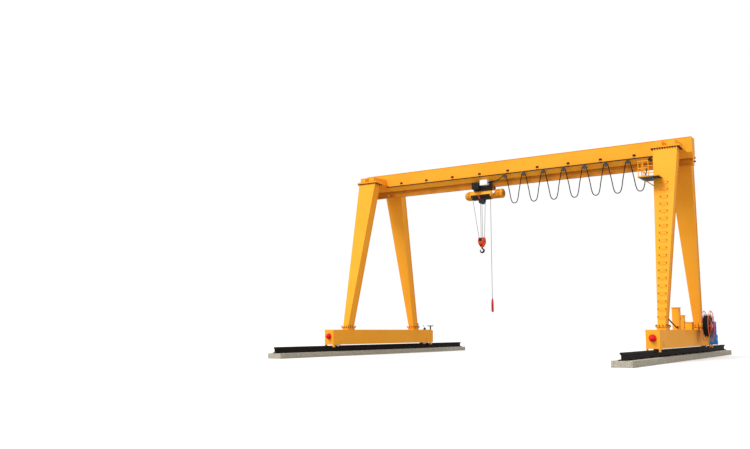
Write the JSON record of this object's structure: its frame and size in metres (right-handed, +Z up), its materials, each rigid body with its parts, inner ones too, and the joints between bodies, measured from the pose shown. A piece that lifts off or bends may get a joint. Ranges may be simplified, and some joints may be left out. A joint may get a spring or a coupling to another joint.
{
  "type": "single girder gantry crane",
  "caption": "Gantry crane on ground rails: box girder on splayed tapered legs, end trucks with flanged wheels, underhung wire-rope hoist with hook block, festoon and pendant.",
  "frame": {"origin": "on the ground, midway between the rails and midway along them", "axes": "+X along the girder, +Y along the rails away from the ladder side, +Z up"},
  "size_m": [15.66, 16, 8.745],
  "materials": {
    "concrete": "rough concrete",
    "rail_steel": "dark rolled steel",
    "yellow_paint": "satin yellow paint",
    "wheel_steel": "machined steel",
    "red_rubber": "red rubber",
    "dark_metal": "dark grey paint",
    "blue_paint": "blue paint",
    "white_paint": "white paint",
    "red_paint": "orange red paint",
    "reel_paint": "orange red paint",
    "black_cable": "black cable jacket",
    "galvanised": "galvanised steel",
    "rope_steel": "greased wire rope",
    "hook_steel": "forged black steel",
    "pendant_plastic": "red plastic"
  },
  "bodies": {
    "track": {"foundation_strips": "concrete", "crane_rails": "rail_steel"},
    "gantry": {"main_girder": "yellow_paint", "track_beam": "yellow_paint", "girder_end_plates": "yellow_paint", "left_brackets": "yellow_paint", "right_brackets": "yellow_paint", "left_truck": "yellow_paint", "right_truck": "yellow_paint", "front_left_leg": "yellow_paint", "back_left_leg": "yellow_paint", "front_right_leg": "yellow_paint", "back_right_leg": "yellow_paint", "buffers": "red_rubber", "trolley_stops": "yellow_paint", "rail_clamps": "yellow_paint", "drive_units": "blue_paint", "cabinets": "yellow_paint", "ladder_rungs": "yellow_paint", "landing_platform": "yellow_paint", "landing_railing": "yellow_paint", "reel_bracket": "yellow_paint", "festoon_track": "dark_metal", "festoon_cable": "black_cable"},
    "front_left_wheel": {"front_left_wheel": "wheel_steel"},
    "back_left_wheel": {"back_left_wheel": "wheel_steel"},
    "front_right_wheel": {"front_right_wheel": "wheel_steel"},
    "back_right_wheel": {"back_right_wheel": "wheel_steel"},
    "left_handwheel": {"left_handwheel": "dark_metal"},
    "right_handwheel": {"right_handwheel": "dark_metal"},
    "cable_reel": {"reel_frame": "reel_paint", "reel_winding": "black_cable"},
    "trolley": {"trolley_lead": "black_cable", "trolley_frame": "dark_metal", "trolley_wheels": "wheel_steel", "trolley_motor": "dark_metal", "electrical_boxes": "white_paint", "hoist_frame": "yellow_paint", "hoist_gearbox": "yellow_paint", "hoist_motor": "yellow_paint", "rope_guide": "red_paint", "rope_outlet": "dark_metal", "wire_ropes": "rope_steel", "pendant_gland": "dark_metal", "pendant_cable": "black_cable", "pendant_station": "pendant_plastic"},
    "festoon_carrier_7": {"festoon_carrier_7": "galvanised"},
    "festoon_carrier_6": {"festoon_carrier_6": "galvanised"},
    "festoon_carrier_5": {"festoon_carrier_5": "galvanised"},
    "festoon_carrier_4": {"festoon_carrier_4": "galvanised"},
    "festoon_carrier_3": {"festoon_carrier_3": "galvanised"},
    "festoon_carrier_2": {"festoon_carrier_2": "galvanised"},
    "festoon_carrier_1": {"festoon_carrier_1": "galvanised"},
    "rope_drum": {"rope_drum": "dark_metal"},
    "hook_block": {"hook_block": "red_paint", "hook_sheaves": "dark_metal"},
    "hook": {"hook": "hook_steel"}
  },
  "joints": [
    {"name": "gantry_travel", "type": "slide", "parent": "track", "child": "gantry", "axis": [0, 1, 0], "range_m": [-3.2, 3.2]},
    {"name": "trolley_travel", "type": "slide", "parent": "gantry", "child": "trolley", "axis": [1, 0, 0], "range_m": [-4.2, 4.4], "deforming": ["festoon_cable"]},
    {"name": "hook_lift", "type": "slide", "parent": "trolley", "child": "hook_block", "axis": [0, 0, 1], "range_m": [-4.3, 1.3], "deforming": ["wire_ropes"]},
    {"name": "hook_swivel", "type": "hinge", "parent": "hook_block", "child": "hook", "pos_m": [-1.58, 0, 4.9], "axis": [0, 0, 1], "continuous": true},
    {"name": "drum_turn", "type": "hinge", "parent": "trolley", "child": "rope_drum", "pos_m": [-1.535, 0, 7.29], "axis": [1, 0, 0], "continuous": true},
    {"name": "front_left_wheel_roll", "type": "hinge", "parent": "gantry", "child": "front_left_wheel", "pos_m": [-7, -3.8, 0.6603], "axis": [1, 0, 0], "continuous": true},
    {"name": "back_left_wheel_roll", "type": "hinge", "parent": "gantry", "child": "back_left_wheel", "pos_m": [-7, 3.8, 0.6603], "axis": [1, 0, 0], "continuous": true},
    {"name": "front_right_wheel_roll", "type": "hinge", "parent": "gantry", "child": "front_right_wheel", "pos_m": [7, -3.8, 0.6603], "axis": [1, 0, 0], "continuous": true},
    {"name": "back_right_wheel_roll", "type": "hinge", "parent": "gantry", "child": "back_right_wheel", "pos_m": [7, 3.8, 0.6603], "axis": [1, 0, 0], "continuous": true},
    {"name": "left_clamp_screw", "type": "hinge", "parent": "gantry", "child": "left_handwheel", "pos_m": [-6.88, 4.435, 1.345], "axis": [0, 0, 1], "range_deg": [0, 720]},
    {"name": "right_clamp_screw", "type": "hinge", "parent": "gantry", "child": "right_handwheel", "pos_m": [7.12, 4.435, 1.345], "axis": [0, 0, 1], "range_deg": [0, 720]},
    {"name": "reel_turn", "type": "hinge", "parent": "gantry", "child": "cable_reel", "pos_m": [7.47, 1.7, 1.31], "axis": [1, 0, 0], "continuous": true},
    {"name": "carrier_7_run", "type": "slide", "parent": "gantry", "child": "festoon_carrier_7", "axis": [1, 0, 0], "range_m": [-0.61, 0.6386]},
    {"name": "carrier_6_run", "type": "slide", "parent": "festoon_carrier_7", "child": "festoon_carrier_6", "axis": [1, 0, 0], "range_m": [-0.61, 0.6386]},
    {"name": "carrier_5_run", "type": "slide", "parent": "festoon_carrier_6", "child": "festoon_carrier_5", "axis": [1, 0, 0], "range_m": [-0.61, 0.6386]},
    {"name": "carrier_4_run", "type": "slide", "parent": "festoon_carrier_5", "child": "festoon_carrier_4", "axis": [1, 0, 0], "range_m": [-0.61, 0.6386]},
    {"name": "carrier_3_run", "type": "slide", "parent": "festoon_carrier_4", "child": "festoon_carrier_3", "axis": [1, 0, 0], "range_m": [-0.61, 0.6386]},
    {"name": "carrier_2_run", "type": "slide", "parent": "festoon_carrier_3", "child": "festoon_carrier_2", "axis": [1, 0, 0], "range_m": [-0.61, 0.6386]},
    {"name": "carrier_1_run", "type": "slide", "parent": "festoon_carrier_2", "child": "festoon_carrier_1", "axis": [1, 0, 0], "range_m": [-0.61, 0.6386]}
  ],
  "couplings": [
    {"joint": "front_left_wheel_roll", "follows": "gantry_travel", "rad_per_m": -5},
    {"joint": "back_left_wheel_roll", "follows": "gantry_travel", "rad_per_m": -5},
    {"joint": "front_right_wheel_roll", "follows": "gantry_travel", "rad_per_m": -5},
    {"joint": "back_right_wheel_roll", "follows": "gantry_travel", "rad_per_m": -5},
    {"joint": "reel_turn", "follows": "gantry_travel", "rad_per_m": 2.3},
    {"joint": "carrier_7_run", "follows": "trolley_travel", "ratio": 0.14286},
    {"joint": "carrier_6_run", "follows": "trolley_travel", "ratio": 0.14286},
    {"joint": "carrier_5_run", "follows": "trolley_travel", "ratio": 0.14286},
    {"joint": "carrier_4_run", "follows": "trolley_travel", "ratio": 0.14286},
    {"joint": "carrier_3_run", "follows": "trolley_travel", "ratio": 0.14286},
    {"joint": "carrier_2_run", "follows": "trolley_travel", "ratio": 0.14286},
    {"joint": "carrier_1_run", "follows": "trolley_travel", "ratio": 0.14286},
    {"joint": "drum_turn", "follows": "hook_lift", "rad_per_m": -22.857}
  ]
}
